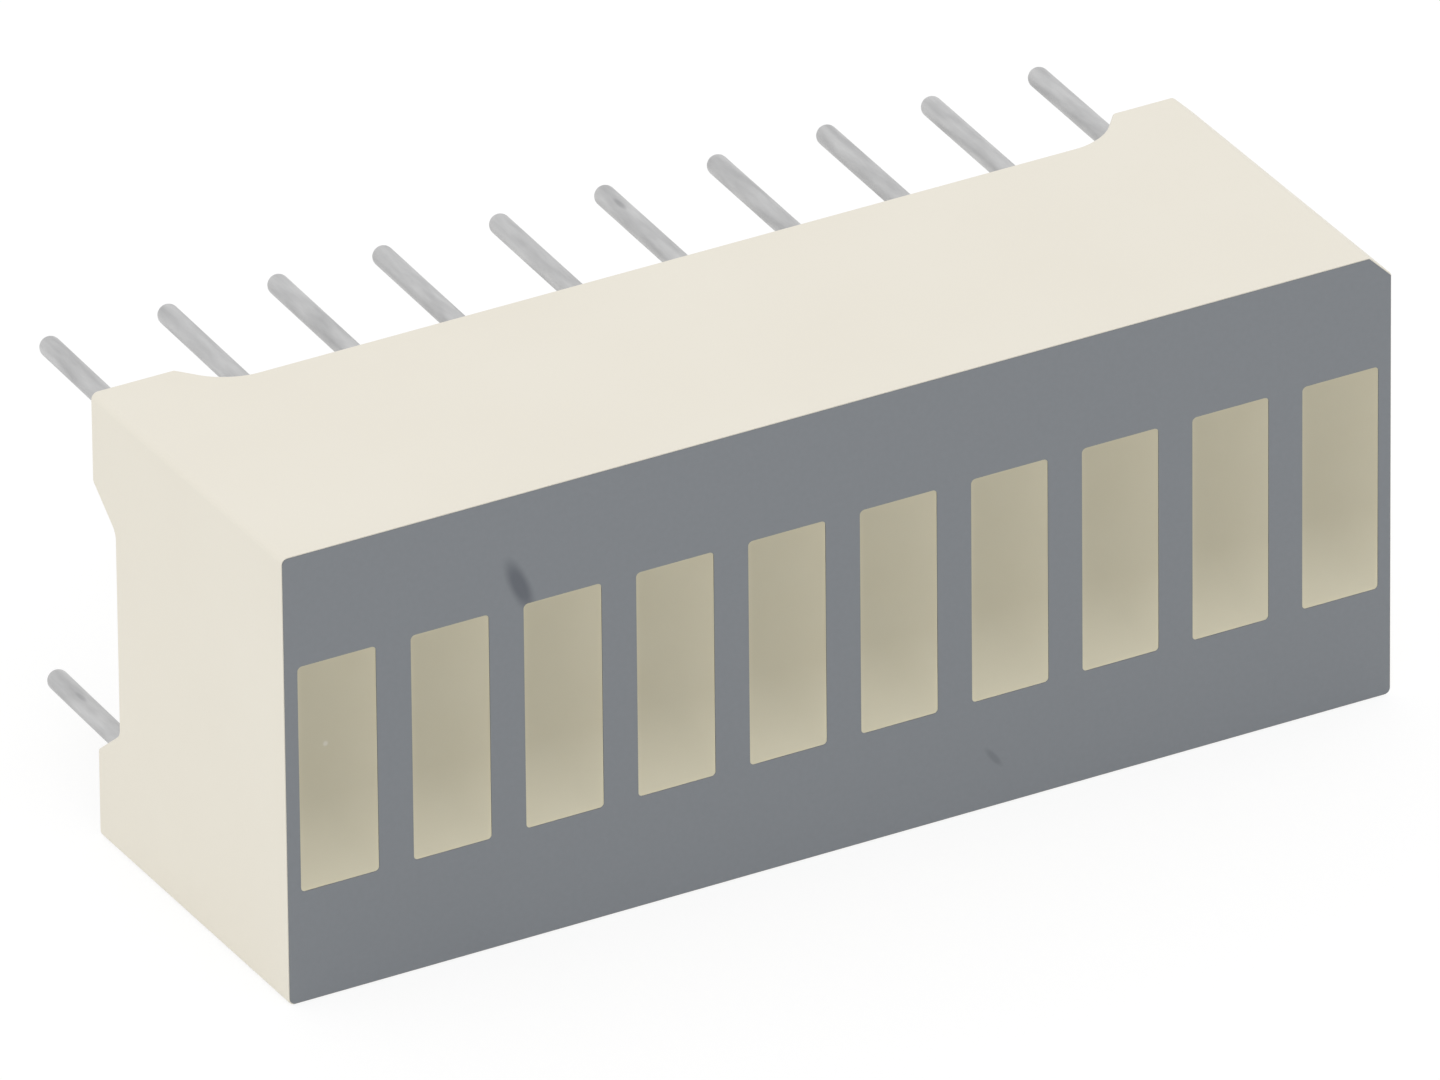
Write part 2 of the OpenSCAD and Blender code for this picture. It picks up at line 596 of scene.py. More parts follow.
@dataclass(frozen=True)
class PrintedInk(Finish):
    """Grey two-part ink, screen printed on the face: flat and matt, with rubbed spots."""

    name: str = "epoxy_ink_screen_printed_grey"
    colours: tuple[str, str] = ("#777B80", "#72767B")
    spot_colour: str = "#3A3F4A"
    pigment_mm: float = 0.12
    film_depth_mm: float = 0.0012
    roughness: float = 0.55
    ior: float = 1.5
    spots: tuple[Spot, ...] = (
        Spot(start=(-7.66, 3.8), end=(-6.97, 2.2), width=0.54, strength=0.62),
        Spot(start=(3.17, -3.6), end=(3.66, -4.23), width=0.2, strength=0.3),
    )

    def paint(self, tree: Tree, place: Socket) -> Node:
        """Add the pigment's fine mottle and the rubbed spots.

        Args:
            tree: the node tree.
            place: place of a point, in the frame.

        Returns:
            The shader.
        """
        pigment, colour = self.mottle(tree, place, self.pigment_mm, CLOUDED)
        depth = Box.of_node("face_print").low.y
        spots = [(spot, depth) for spot in self.spots]
        colour = self.stain(tree, place, colour, spots, self.spot_colour)
        return self.skin(tree, colour, pigment, self.film_depth_mm, IOR=self.ior)


@dataclass(frozen=True)
class CastResin(Finish):
    """Milky epoxy, cast in the wells: light goes in and out, and the well's walls show through it."""

    name: str = "diffused_epoxy_cast_milky"
    colours: tuple[str, str] = ("#E2DDC6", "#DDD7BE")
    # Painted light: a paler colour at each window's lower end, for the lit lower wall of the well
    painted_light_colour: str = "#F6F1D9"
    glow_colour: str = "#F2EBD6"
    speck_colour: str = "#FBF9F0"
    cloud_mm: float = 1.2
    # Distance from a window's lower end over which the painted light fades out; it stands in for the
    # well's lower wall, lit from above and seen through the resin
    painted_light_mm: float = 2.0
    speck: Spot = Spot(start=(-11.78, 0.65), end=(-11.62, 0.65), width=0.16, strength=0.9)
    # Share of the skin that lets light straight through
    clear: float = 0.28
    # Share of the rest that scatters light into the well and out again
    glow: float = 0.35
    roughness: float = 0.3
    ior: float = 1.5

    def painted_light_fade(self, tree: Tree, height: Socket) -> Socket:
        """Tell how far a point is past the painted light at the window's lower end, from its height above
        that end.

        Args:
            tree: the node tree.
            height: height of a point, in the frame.

        Returns:
            Zero at the lower end, where the painted light is full, rising to one above it.
        """
        low = Box.of_node("segment_1").low.z
        ends = {"Value": height, "From Min": low * MM, "From Max": (low + self.painted_light_mm) * MM}
        return add_node(tree, "ShaderNodeMapRange", ends).outputs["Result"]

    def clearness(self, tree: Tree, depth: Socket) -> Socket:
        """Make the resin milky in front and clear inside the well.

        Args:
            tree: the node tree.
            depth: depth of a point, in the frame.

        Returns:
            The share of light that goes straight through.
        """
        front = Box.of_node("housing").low.y * MM
        inside = add_node(tree, "ShaderNodeMath", {0: depth, 1: front}, operation="GREATER_THAN")
        share = add_node(
            tree, "ShaderNodeMath", {0: inside.outputs["Value"], 1: self.clear}, operation="MAXIMUM"
        )
        return share.outputs["Value"]

    def paint(self, tree: Tree, place: Socket) -> Node:
        """Add the diffuser's faint clouds, painted light at each window's lower end and one small white
        speck.

        Args:
            tree: the node tree.
            place: place of a point, in the frame.

        Returns:
            The shader.
        """
        along = add_node(tree, "ShaderNodeSeparateXYZ", {"Vector": place}).outputs
        _, cloudy = self.mottle(tree, place, self.cloud_mm, SOFT)
        # Painted light: paler towards each window's lower end, standing in for the well's lower wall lit
        # from above
        past_painted_light = self.painted_light_fade(tree, along["Z"])
        with_painted_light = add_node(
            tree,
            "ShaderNodeMix",
            {MIX_FACTOR: past_painted_light, MIX_A: linear(self.painted_light_colour), MIX_B: cloudy},
            data_type="RGBA",
        ).outputs[MIX_RESULT]
        # One small white speck on the first segment
        speck_spots = [(self.speck, Box.of_node("segment_1").low.y)]
        specked = self.stain(tree, place, with_painted_light, speck_spots, self.speck_colour)
        surface = add_node(
            tree,
            "ShaderNodeBsdfPrincipled",
            {"Base Color": specked, "Roughness": self.roughness, "IOR": self.ior},
        )
        inner = add_node(tree, "ShaderNodeBsdfTranslucent", {"Color": linear(self.glow_colour)})
        straight = add_node(tree, "ShaderNodeBsdfTransparent")
        for share, other in ((self.glow, inner), (self.clearness(tree, along["Y"]), straight)):
            surface = add_node(
                tree, "ShaderNodeMixShader", {0: share, 1: surface.outputs[0], 2: other.outputs[0]}
            )
        return surface


@dataclass(frozen=True)
class DullMetal(Finish):
    """A metal skin with duller and brighter patches, as dipping, reflow or drawing leaves it."""

    patch_mm: float
    wave_depth_mm: float
    metallic: float = 1.0
    # How many times longer the patches are along the wire than across it
    stretch: float = 1.0
    # Dark marks of handling, each with its depth along Y
    mark_colour: str = "#6E6E72"
    marks: tuple[tuple[Spot, float], ...] = ()

    def paint(self, tree: Tree, place: Socket) -> Node:
        """Add the patches, the skin's slight waves and the marks.

        Args:
            tree: the node tree.
            place: place of a point, in the frame.

        Returns:
            The shader.
        """
        drawn = add_node(
            tree, "ShaderNodeMapping", {"Vector": place, "Scale": (1.0, 1.0 / self.stretch, 1.0)}
        ).outputs["Vector"]
        patch, colour = self.mottle(tree, drawn, self.patch_mm, CLOUDED)
        colour = self.stain(tree, place, colour, self.marks, self.mark_colour)
        return self.skin(tree, colour, patch, self.wave_depth_mm, Metallic=self.metallic)


@dataclass(frozen=True)
class PottedResin(Finish):
    """Cream epoxy, poured over the board and cured: glossy, cloudy, with a few burst bubbles."""

    name: str = "epoxy_poured_cream"
    colours: tuple[str, str] = ("#D8D1B9", "#CBC3A8")
    cloud_mm: float = 2.2
    bubble_pitch_mm: float = 1.1
    bubble_share: float = 0.09
    bubble_depth_mm: float = 0.03
    roughness: float = 0.28
    ior: float = 1.5

    def paint(self, tree: Tree, place: Socket) -> Node:
        """Add clouds and the small craters of burst bubbles.

        Args:
            tree: the node tree.
            place: place of a point, in the frame.

        Returns:
            The shader.
        """
        _, colour = self.mottle(tree, place, self.cloud_mm, STREAKED)
        bubble = add_node(
            tree, "ShaderNodeTexVoronoi", {"Vector": place, "Scale": per_mm(self.bubble_pitch_mm)}
        )
        crater = add_node(
            tree,
            "ShaderNodeMapRange",
            {"Value": bubble.outputs["Distance"], "From Max": self.bubble_share},
            interpolation_type="SMOOTHSTEP",
        )
        return self.skin(tree, colour, crater.outputs["Result"], self.bubble_depth_mm, IOR=self.ior)


@dataclass(frozen=True)
class GlassLaminate(Finish):
    """Glass cloth in cured epoxy, pressed: the weave shows as a faint check."""

    name: str = "glass_epoxy_laminate_pressed"
    colours: tuple[str, str] = ("#D9D2B4", "#C8C09E")
    weave_mm: float = 0.4
    weave_depth_mm: float = 0.01
    weave_strength: float = 0.5
    roughness: float = 0.45
    ior: float = 1.55

    def paint(self, tree: Tree, place: Socket) -> Node:
        """Add the cloth's weave.

        Args:
            tree: the node tree.
            place: place of a point, in the frame.

        Returns:
            The shader.
        """
        warp, weft = (linear(colour) for colour in self.colours)
        weave = add_node(
            tree,
            "ShaderNodeTexChecker",
            {"Vector": place, "Color1": warp, "Color2": weft, "Scale": per_mm(self.weave_mm)},
        ).outputs
        return self.skin(
            tree, weave["Color"], weave["Fac"], self.weave_depth_mm, self.weave_strength, IOR=self.ior
        )


@dataclass(frozen=True)
class DicedCrystal(Finish):
    """Gallium phosphide, sawn into dies: amber and glassy, with saw lines on its sides."""

    name: str = "gallium_phosphide_diced_amber"
    colours: tuple[str, str] = ("#D8B45A", "#B98F3C")
    saw_mm: float = 0.05
    saw_wander: float = 1.0
    roughness: float = 0.25
    ior: float = 3.0

    def paint(self, tree: Tree, place: Socket) -> Node:
        """Add the saw lines.

        Args:
            tree: the node tree.
            place: place of a point, in the frame.

        Returns:
            The shader.
        """
        saw = add_node(
            tree,
            "ShaderNodeTexWave",
            {"Vector": place, "Scale": per_mm(self.saw_mm) / math.tau, "Distortion": self.saw_wander},
            bands_direction="Y",
        )
        crystal, line = (linear(colour) for colour in self.colours)
        colour = add_node(
            tree,
            "ShaderNodeMix",
            {MIX_FACTOR: saw.outputs["Fac"], MIX_A: crystal, MIX_B: line},
            data_type="RGBA",
        )
        return add_node(
            tree,
            "ShaderNodeBsdfPrincipled",
            {"Base Color": colour.outputs[MIX_RESULT], "Roughness": self.roughness, "IOR": self.ior},
        )


DIPPED_TIN = DullMetal(
    name="steel_wire_dip_tinned",
    colours=("#D7D7D7", "#A5A5A6"),
    patch_mm=0.2,
    roughness=(0.34, 0.5),
    wave_depth_mm=0.003,
    metallic=0.85,
    stretch=6.0,
    marks=(
        (Spot(start=(1.1, 4.03), end=(1.2, 4.12), width=0.7, strength=0.4), 3.22),
        (Spot(start=(-11.55, -3.585), end=(-11.46, -3.505), width=0.6, strength=0.28), 2.85),
    ),
)
REFLOWED_SOLDER = DullMetal(
    name="tin_solder_reflowed",
    colours=("#D2D3D4", "#BDBEC0"),
    patch_mm=0.25,
    roughness=(0.22, 0.42),
    wave_depth_mm=0.004,
)
DRAWN_GOLD = DullMetal(
    name="gold_wire_drawn",
    colours=("#E6C15A", "#D9AE42"),
    patch_mm=0.1,
    roughness=(0.2, 0.3),
    wave_depth_mm=0.0005,
)


# Sub-assemblies


def hand_over(piece: Piece, finish: Finish, node: str) -> Piece:
    """Scale a finished piece to metres, dress it and let it stand for its solid.

    Args:
        piece: the finished piece, in millimetres.
        finish: its surface.
        node: the solid that it stands for.

    Returns:
        The piece.
    """
    take_up(piece)
    piece.scale = (MM, MM, MM)
    bpy.ops.object.transform_apply(location=True, rotation=True, scale=True)
    piece.data.materials.clear()
    piece.data.materials.append(finish.material())
    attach(piece, ROOT)
    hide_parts(node)
    return piece


def dress_node(node: str, finish: Finish) -> Piece:
    """Give a solid of the frame its finish.

    Args:
        node: name of the solid's node.
        finish: its surface.

    Returns:
        The solid's object.
    """
    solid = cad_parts[node]
    for slot in solid.material_slots:
        slot.material = finish.material()
    return solid


@dataclass(frozen=True)
class WellForm:
    """Room of one reflector well: a straight mouth, then a funnel that closes in to the board."""

    window: Box
    front: float
    land: float = 0.04
    mouth_r: float = 0.06
    mouth_depth: float = 0.5
    back_width: float = 1.0
    back_height: float = 2.6
    corner_flats: int = 4

    def model(self, name: str, shrink: float, lead: float, past: float) -> Piece:
        """Model the room of the first well, or what fills it.

        Args:
            name: name of the shape.
            shrink: how far it stays inside the room's walls.
            lead: how far it starts in front of the housing.
            past: how far it carries on past the board.

        Returns:
            The shape, closed.
        """
        inset = Vector((self.land + shrink, 0.0, self.land + shrink))
        low = self.window.low + inset
        low.y = self.front - lead
        high = self.window.high - inset
        high.y = self.front + self.mouth_depth
        end = self.window.high.y + past
        mouth = (high - low) / 2
        form = rounded_block(name, low, high, self.mouth_r - shrink, self.corner_flats)
        with edit_mode(form):
            pick(form, Pick.FACES, looks_back)
            draw_out(end - high.y)
            bpy.ops.transform.resize(
                value=(
                    (self.back_width / 2 - shrink) / mouth.x,
                    1.0,
                    (self.back_height / 2 - shrink) / mouth.z,
                ),
                center_override=(self.window.middle.x, end, self.window.middle.z),
            )
        return form


@dataclass
class ReflectorHousing:
    """Moulded housing: ten reflector wells, the board's pocket behind them and four corner feet."""

    well: WellForm
    finish: Finish = MouldedPolyester()
    segments: int = 10
    corner_r: float = 0.15
    corner_flats: int = 6
    first_pin_bevel: float = 0.5
    pocket_r: float = 0.5
    foot_height: float = 0.92
    foot_length: float = 1.88
    foot_width: float = 2.0
    flank_along: float = 0.75
    flank_across: float = 0.75
    fillet_along: float = 1.3
    fillet_across: float = 0.3
    fillet_flats: int = 8
    edge_r: float = 0.05
    edge_flats: int = 3
    # The edges round the print are this much sharper than the others
    print_edge_share: float = 0.3
    sharp_degrees: float = 25.0

    def model_body(self, body: Box) -> Piece:
        """Model the outside, with its rounded edges and the bevel that marks the first pin.

        Args:
            body: the housing's box.

        Returns:
            The solid body.
        """
        block = start_block("housing_moulding", body.low, body.high)

        def at_first_pin(edge: bmesh.types.BMEdge) -> bool:
            """Tell whether an edge is the one next to the first pin."""
            return all(v.co.x > 0 and v.co.z > 0 for v in edge.verts)

        with edit_mode(block):
            pick(block, Pick.EDGES, lambda edge: runs_along_y(edge) and not at_first_pin(edge))
            bpy.ops.mesh.bevel(offset=self.corner_r, segments=self.corner_flats, affect="EDGES")
            pick(block, Pick.EDGES, lambda edge: runs_along_y(edge) and at_first_pin(edge))
            bpy.ops.mesh.bevel(offset=self.first_pin_bevel, segments=1, affect="EDGES")
        return block

    def model_gap(self, half: Vector, rim: float, axis: int, run: float, fillet: float) -> Piece:
        """Model the gap that is cut into the rim between two pairs of feet.

        Args:
            half: half of the gap's length, depth and width at the foot tips.
            rim: depth of the rim between the feet.
            axis: axis along which the feet's flanks slope, 0 or 2.
            run: how far a flank slopes.
            fillet: radius between a flank and the rim.

        Returns:
            The gap's shape, closed.
        """
        low = Vector((-half.x, rim, -half.z))
        gap = start_block("foot_gap", low, Vector((half.x, 0.0, half.z)))
        scale = [1.0, 1.0, 1.0]
        scale[axis] = 1.0 - run / half[axis]
        turn = math.atan2(self.foot_height, run)
        with edit_mode(gap):
            pick(gap, Pick.FACES, looks_front)
            bpy.ops.transform.resize(value=scale, center_override=(0.0, rim, 0.0))
            pick(gap, Pick.FACES, looks_back)
            draw_out(OVER)
            pick(
                gap,
                Pick.EDGES,
                lambda edge: all(v.co.y < rim + OVER for v in edge.verts)
                and abs(edge.verts[0].co[axis] - edge.verts[1].co[axis]) < OVER,
            )
            bpy.ops.mesh.bevel(
                offset=fillet * math.tan(turn / 2), segments=self.fillet_flats, affect="EDGES"
            )
        return gap

    def soften_edges(self, housing: Piece, body: Box) -> None:
        """Round the outer edges and those of the rim and feet, as a moulding's are.

        Args:
            housing: the cut housing.
            body: its box.
        """
        side_x = body.high.x - self.corner_r - OVER
        side_z = body.high.z - self.corner_r - OVER
        rim = body.high.y - self.foot_height - OVER
        sharp = math.radians(self.sharp_degrees)

        def outside(edge: bmesh.types.BMEdge) -> bool:
            """Tell whether an edge is a sharp one of the outside or of the rim."""
            return edge.calc_face_angle(0.0) > sharp and all(
                abs(v.co.x) > side_x or abs(v.co.z) > side_z or v.co.y > rim for v in edge.verts
            )

        def at_print(edge: bmesh.types.BMEdge) -> bool:
            """Tell whether an edge lies in the plane that is printed on."""
            return all(v.co.y < body.low.y + OVER for v in edge.verts)

        with edit_mode(housing):
            bpy.ops.mesh.select_all(action="SELECT")
            bpy.ops.mesh.remove_doubles(threshold=WELD)
            pick(housing, Pick.EDGES, lambda edge: outside(edge) and not at_print(edge))
            bpy.ops.transform.edge_bevelweight(value=1.0)
            pick(housing, Pick.EDGES, lambda edge: outside(edge) and at_print(edge))
            bpy.ops.transform.edge_bevelweight(value=self.print_edge_share)
        apply_modifier(
            housing,
            "BEVEL",
            limit_method="WEIGHT",
            width=self.edge_r,
            segments=self.edge_flats,
            use_clamp_overlap=False,
        )

    def build(self) -> list[Piece]:
        """Model and dress the housing.

        Returns:
            The finished housing.
        """
        body = Box.of_node("housing")
        pocket = Box.of_node("back_potting")
        ledge = Box.of_node("circuit_board").low.y
        rim = body.high.y - self.foot_height
        housing = self.model_body(body)
        low = Vector((pocket.low.x, ledge, pocket.low.z))
        high = Vector((pocket.high.x, body.high.y + OVER, pocket.high.z))
        cut(housing, rounded_block("pocket", low, high, self.pocket_r, self.corner_flats))
        first = self.well.model("well", shrink=0.0, lead=OVER, past=OVER)
        for number in range(self.segments, 0, -1):
            shift = Box.of_node(f"segment_{number}").middle - self.well.window.middle
            cut(housing, copy_of(first, f"well_{number}", shift))
        bpy.data.meshes.remove(first.data)
        along = Vector((body.high.x - self.foot_length, 0.0, body.high.z + OVER))
        across = Vector((body.high.x + OVER, 0.0, body.high.z - self.foot_width))
        cut(housing, self.model_gap(along, rim, 0, self.flank_along, self.fillet_along))
        cut(housing, self.model_gap(across, rim, 2, self.flank_across, self.fillet_across))
        self.soften_edges(housing, body)
        smooth(housing, self.sharp_degrees)
        return [hand_over(housing, self.finish, "housing")]


@dataclass
class FacePrint:
    """Thin grey print on the face, with a window for each segment."""

    finish: Finish = PrintedInk()

    def build(self) -> list[Piece]:
        """Dress the print's solid, whose flat shape is right as it is."""
        return [dress_node("face_print", self.finish)]


@dataclass
class SegmentRow:
    """Ten segments of milky resin, each cast in its well with a slightly sunken surface."""

    well: WellForm
    finish: Finish = CastResin()
    segments: int = 10
    wall_gap: float = 0.004
    meniscus: tuple[tuple[float, float], ...] = ((0.05, 0.004), (0.1, 0.004), (0.2, 0.003))
    sharp_degrees: float = 30.0

    def model_segment(self) -> Piece:
        """Model the first segment: the well's filling, widened in front to fill the window.

        Returns:
            The segment.
        """
        window = self.well.window.size
        room = window - Vector((2 * self.well.land, 0.0, 2 * self.well.land))
        spare = Vector((2 * self.wall_gap, 0.0, 2 * self.wall_gap))
        lip = self.well.front - self.wall_gap - self.well.window.low.y
        segment = self.well.model(
            "segment_resin_1", shrink=self.wall_gap, lead=self.wall_gap, past=-self.wall_gap
        )
        with edit_mode(segment):
            pick(segment, Pick.FACES, looks_front)
            bpy.ops.mesh.extrude_region_move()
            bpy.ops.transform.resize(
                value=(
                    (window.x - spare.x) / (room.x - spare.x),
                    1.0,
                    (window.z - spare.z) / (room.z - spare.z),
                )
            )
            draw_out(-lip)
            bpy.ops.mesh.inset(thickness=self.well.mouth_r)
            bpy.ops.mesh.remove_doubles(threshold=self.well.mouth_r / 2)
            pick(segment, Pick.FACES, lambda face: face.calc_area() > window.x * window.z / 2)
            step_in(1.0, self.meniscus)
        smooth(segment, self.sharp_degrees)
        return segment

    def build(self) -> list[Piece]:
        """Copy the first segment into each well and dress the copies.

        Returns:
            The segments, in the order of their pins.
        """
        first = self.model_segment()
        row = [first]
        for number in range(2, self.segments + 1):
            shift = Box.of_node(f"segment_{number}").middle - self.well.window.middle
            row.append(copy_of(first, f"segment_resin_{number}", shift))
        return [
            hand_over(piece, self.finish, f"segment_{number}")
            for number, piece in enumerate(row, start=1)
        ]


@dataclass
class PinRows:
    """Two rows of tinned pins, and the solder that holds each in the board."""

    finish: Finish = DIPPED_TIN
    solder_finish: Finish = REFLOWED_SOLDER
    pins: int = 20
    sides: int = 32
    tin: float = 0.012
    tip_share: float = 0.97
    tip_flats: int = 6
    solder_r: float = 0.48
    solder_lip: float = 0.04
    solder_steps: int = 7
    solder_hollow: float = 2.2
    sharp_degrees: float = 40.0
    # Shift along the bar of each leg that the photograph shows, and lean of their ends
    drifts: tuple[float, ...] = (
        -0.18, -0.135, -0.03, -0.02, -0.08, 0.045, -0.09, 0.055, 0.095, -0.04, -0.03
    )
    lean: tuple[float, float, float] = (0.055, -0.07, 0.06)

    def model_pin(self, leg: Box, root: float) -> Piece:
        """Model a pin on the Y axis: tinned leg, round end and the thinner wire behind the seat.

        Args:
            leg: box of one pin's solid.
            root: depth at which the wire leaves the board.

        Returns:
            The pin.
        """
        radius = leg.size.x / 2
        pin = start_rod("pin", radius, 0.0, leg.high.y, self.sides)
        with edit_mode(pin):
            pick(pin, Pick.FACES, looks_back)
            bpy.ops.mesh.bevel(offset=radius * self.tip_share, segments=self.tip_flats, affect="EDGES")
            pick(pin, Pick.FACES, looks_front)
            bpy.ops.mesh.inset(thickness=self.tin)
            for run in (root, leg.low.y - root):
                draw_out(run)
        smooth(pin, self.sharp_degrees)
        return pin

    def model_solder(self, wire_r: float, joints: Box) -> Piece:
        """Model one solder joint on the Y axis: a hollow cone that climbs the wire.

        Args:
            wire_r: radius of the wire.
            joints: box of all the joints' solids.

        Returns:
            The joint.
        """
        top_r = wire_r + self.solder_lip
        rise = joints.size.y / self.solder_steps
        shares = [k / self.solder_steps for k in range(self.solder_steps + 1)]
        radii = [top_r + (self.solder_r - top_r) * (1.0 - s) ** self.solder_hollow for s in shares]
        joint = start_rod("solder_joint", self.solder_r, joints.low.y, joints.low.y + rise, self.sides)
        with edit_mode(joint):
            pick(joint, Pick.FACES, looks_back)
            bpy.ops.transform.resize(value=(radii[1] / radii[0], 1.0, radii[1] / radii[0]))
            for thick, thin in zip(radii[1:], radii[2:]):
                draw_out(rise)
                bpy.ops.transform.resize(value=(thin / thick, 1.0, thin / thick))
        smooth(joint, self.sharp_degrees)
        return joint

    def set_leg(self, pin: Piece, drift: float) -> None:
        """Bend a pin's leg out of its straight place.

        Args:
            pin: the pin, in its place.
            drift: how far the leg is off along the bar.
        """
        with edit_mode(pin):
            pick(pin, Pick.VERTS, lambda vert: vert.co.y > -OVER)
            bpy.ops.transform.translate(value=(drift, 0.0, 0.0))
            pick(pin, Pick.VERTS, lambda vert: vert.co.y > OVER)
            bpy.ops.transform.translate(value=self.lean)

    def build(self) -> list[Piece]:
        """Model one pin and one joint, copy them to every place and dress the copies.

        Returns:
            The pins in their order, and the solder joints as one piece.
        """
        leg = Box.of_node("pin_1")
        solder = Box.of_node("solder_joints")
        pin = self.model_pin(leg, solder.low.y)
        joint = self.model_solder(leg.size.x / 2 - self.tin, solder)
        legs, joints = [], []
        for number in range(1, self.pins + 1):
            middle = Box.of_node(f"pin_{number}").middle
            axis = Vector((middle.x, 0.0, middle.z))
            legs.append(copy_of(pin, f"pin_leg_{number}", axis))
            joints.append(copy_of(joint, f"joint_{number}", axis))
        bpy.data.meshes.remove(pin.data)
        bpy.data.meshes.remove(joint.data)
        for piece, drift in zip(legs, self.drifts):
            self.set_leg(piece, drift)
        pieces = [
            hand_over(piece, self.finish, f"pin_{number}")
            for number, piece in enumerate(legs, start=1)
        ]
        fillets = join(joints, "solder_fillets")
        pieces.append(hand_over(fillets, self.solder_finish, "solder_joints"))
        return pieces


@dataclass
class BackPotting:
    """Resin poured over the board, which creeps up the pocket's wall."""

    finish: Finish = PottedResin()
    pocket_r: float = 0.5
    corner_flats: int = 6
    wall_gap: float = 0.004
    creep: tuple[tuple[float, float], ...] = ((0.05, 0.035), (0.08, 0.02), (0.14, 0.01), (0.2, 0.005))
    sharp_degrees: float = 50.0

    def build(self) -> list[Piece]:
        """Model and dress the potting.

        Returns:
            The potting.
        """
        room = Box.of_node("back_potting")
        inset = Vector((self.wall_gap, 0.0, self.wall_gap))
        climb = sum(shift for _, shift in self.creep)
        low = room.low + inset
        high = room.high - inset + Vector((0.0, climb, 0.0))
        radius = self.pocket_r - self.wall_gap
        potting = rounded_block("potting_pour", low, high, radius, self.corner_flats)
        with edit_mode(potting):
            pick(potting, Pick.FACES, looks_back)
            step_in(-1.0, self.creep)
        smooth(potting, self.sharp_degrees)
        return [hand_over(potting, self.finish, "back_potting")]


@dataclass
class DieBoard:
    """Circuit board with the dies and their bond wires, which show only through the resin."""

    board_finish: Finish = GlassLaminate()
    die_finish: Finish = DicedCrystal()
    bond_finish: Finish = DRAWN_GOLD
    segments: int = 10

    def build(self) -> list[Piece]:
        """Dress the board, the dies and the wires.

        Returns:
            Their solids.
        """
        solids = [dress_node("circuit_board", self.board_finish)]
        for number in range(1, self.segments + 1):
            solids.append(dress_node(f"led_die_{number}", self.die_finish))
            solids.append(dress_node(f"bond_wire_{number}", self.bond_finish))
        return solids


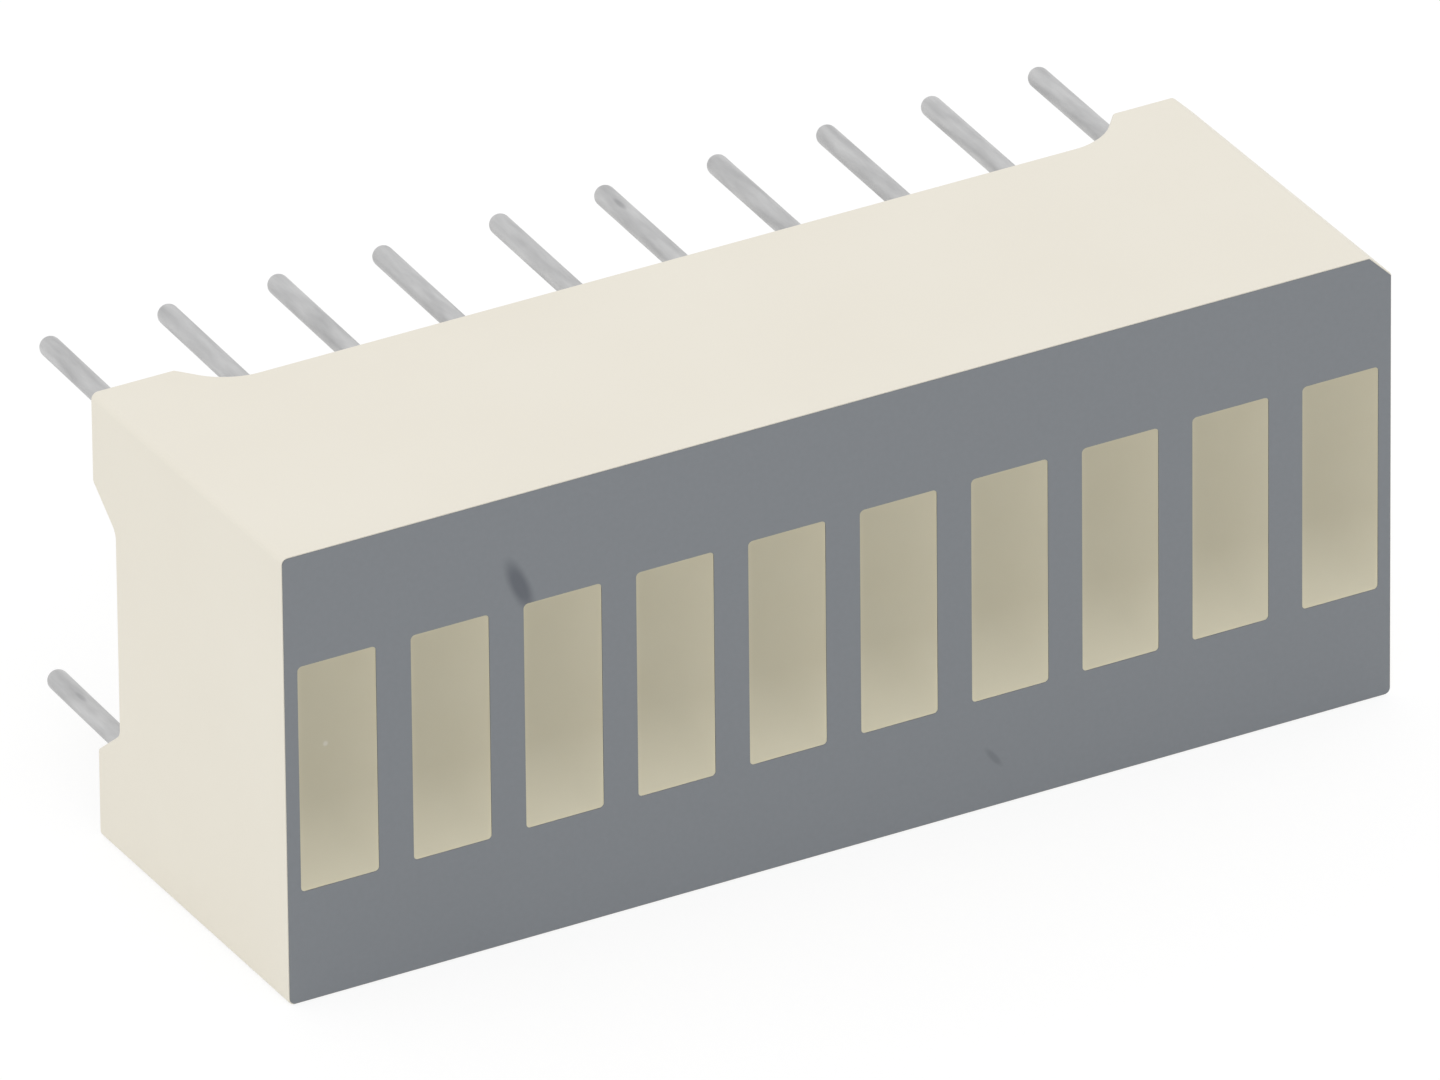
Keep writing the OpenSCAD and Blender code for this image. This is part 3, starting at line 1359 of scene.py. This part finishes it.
@dataclass
class Studio:
    """White table, soft light from all sides and the camera of the product shot."""

    azimuth: float = -28.991
    elevation: float = 28.924
    roll: float = -0.56
    distance: float = 584.95
    aim_x: float = -2.786
    aim_z: float = 2.763
    focal_px: float = 29569.4
    image_width_px: float = 1440.0
    sensor_mm: float = 36.0
    floor_mm: float = 1200.0
    # Light that the table gives off itself: what it adds to the object, and what shows of it
    floor_bounce: float = 0.06
    floor_glow: float = 0.8
    floor_shade: float = 0.22
    floor_colour: str = "#F4F4F2"
    sky_level: float = 0.92
    key_mm: float = 420.0
    key_place: tuple[float, float, float] = (-140.0, -430.0, 400.0)
    key_watts: float = 0.6

    def seen_directly(self, tree: Tree) -> Socket:
        """Tell rays that the camera, gloss or glass sends from those that carry light.

        Args:
            tree: the node tree.

        Returns:
            One for a ray that shows the background.
        """
        path = add_node(tree, "ShaderNodeLightPath")
        seen = path.outputs["Is Camera Ray"]
        for name in ("Is Glossy Ray", "Is Transmission Ray"):
            seen = add_node(
                tree, "ShaderNodeMath", {0: seen, 1: path.outputs[name]}, operation="MAXIMUM"
            ).outputs["Value"]
        return seen

    def lay_floor(self) -> None:
        """Lay the white table under the object."""
        bpy.ops.mesh.primitive_plane_add(size=self.floor_mm * MM, location=(0.0, 0.0, CAD_BOX[0].z))
        floor = bpy.context.object
        floor.name = "table_top"
        paper = bpy.data.materials.new("paper_matt_white")
        paper.use_nodes = True
        tree = paper.node_tree
        tree.nodes.clear()
        sides = []
        for colour, level in (
            (linear(self.floor_colour), self.floor_bounce),
            ((self.floor_shade, self.floor_shade, self.floor_shade, 1.0), self.floor_glow),
        ):
            lit = add_node(tree, "ShaderNodeBsdfDiffuse", {"Color": colour})
            glow = add_node(tree, "ShaderNodeEmission", {"Strength": level})
            both = add_node(tree, "ShaderNodeAddShader", {0: lit.outputs[0], 1: glow.outputs[0]})
            sides.append(both.outputs[0])
        seen = self.seen_directly(tree)
        both = add_node(tree, "ShaderNodeMixShader", {0: seen, 1: sides[0], 2: sides[1]})
        add_node(tree, "ShaderNodeOutputMaterial", {"Surface": both.outputs["Shader"]})
        floor.data.materials.append(paper)

    def light(self) -> None:
        """Light the object evenly, with a little more from the upper left in front."""
        world = bpy.data.worlds.new("light_tent")
        bpy.context.scene.world = world
        world.use_nodes = True
        tree = world.node_tree
        tree.nodes.clear()
        sky, white = (
            add_node(tree, "ShaderNodeBackground", {"Color": WHITE, "Strength": level}).outputs[0]
            for level in (self.sky_level, 1.0)
        )
        both = add_node(tree, "ShaderNodeMixShader", {0: self.seen_directly(tree), 1: sky, 2: white})
        add_node(tree, "ShaderNodeOutputWorld", {"Surface": both.outputs["Shader"]})
        lamp = bpy.data.lights.new("key_softbox", "AREA")
        lamp.size = self.key_mm * MM
        lamp.energy = self.key_watts
        key = bpy.data.objects.new("key_softbox", lamp)
        key.location = Vector(self.key_place) * MM
        key.rotation_euler = key.location.to_track_quat("Z", "Y").to_euler()
        bpy.context.scene.collection.objects.link(key)

    def place_camera(self) -> None:
        """Stand the camera where the product shot was taken from."""
        turn, tilt, roll = (math.radians(a) for a in (self.azimuth, self.elevation, self.roll))
        back = Vector(
            (math.sin(turn) * math.cos(tilt), -math.cos(turn) * math.cos(tilt), math.sin(tilt))
        )
        level = Vector((math.cos(turn), math.sin(turn), 0.0))
        rise = back.cross(level)
        right = level * math.cos(roll) + rise * math.sin(roll)
        up = rise * math.cos(roll) - level * math.sin(roll)
        aim = Vector((self.aim_x, Box.of_node("face_print").low.y, self.aim_z))
        lens = bpy.data.cameras.new("product_camera")
        lens.sensor_width = self.sensor_mm
        lens.lens = self.focal_px * self.sensor_mm / self.image_width_px
        camera = bpy.data.objects.new("product_camera", lens)
        camera.matrix_world = (
            Matrix.Translation((aim + back * self.distance) * MM)
            @ Matrix((right, up, back)).transposed().to_4x4()
        )
        bpy.context.scene.collection.objects.link(camera)
        bpy.context.scene.camera = camera

    def build(self) -> None:
        """Set up the table, the light, the camera and the colour handling."""
        self.lay_floor()
        self.light()
        self.place_camera()
        bpy.context.scene.view_settings.view_transform = "Standard"


def main() -> None:
    """Build every sub-assembly, then the studio."""
    logging.basicConfig(level=logging.INFO, format="%(name)s: %(message)s")
    well = WellForm(window=Box.of_node("segment_1"), front=Box.of_node("housing").low.y)
    assemblies = [
        ReflectorHousing(well=well),
        FacePrint(),
        SegmentRow(well=well),
        PinRows(),
        BackPotting(),
        DieBoard(),
    ]
    for assembly in assemblies:
        for piece in assembly.build():
            LOG.info("%s: %d faces, %s", piece.name, len(piece.data.polygons), piece.active_material.name)
    Studio().build()


if __name__ == "__main__":
    main()
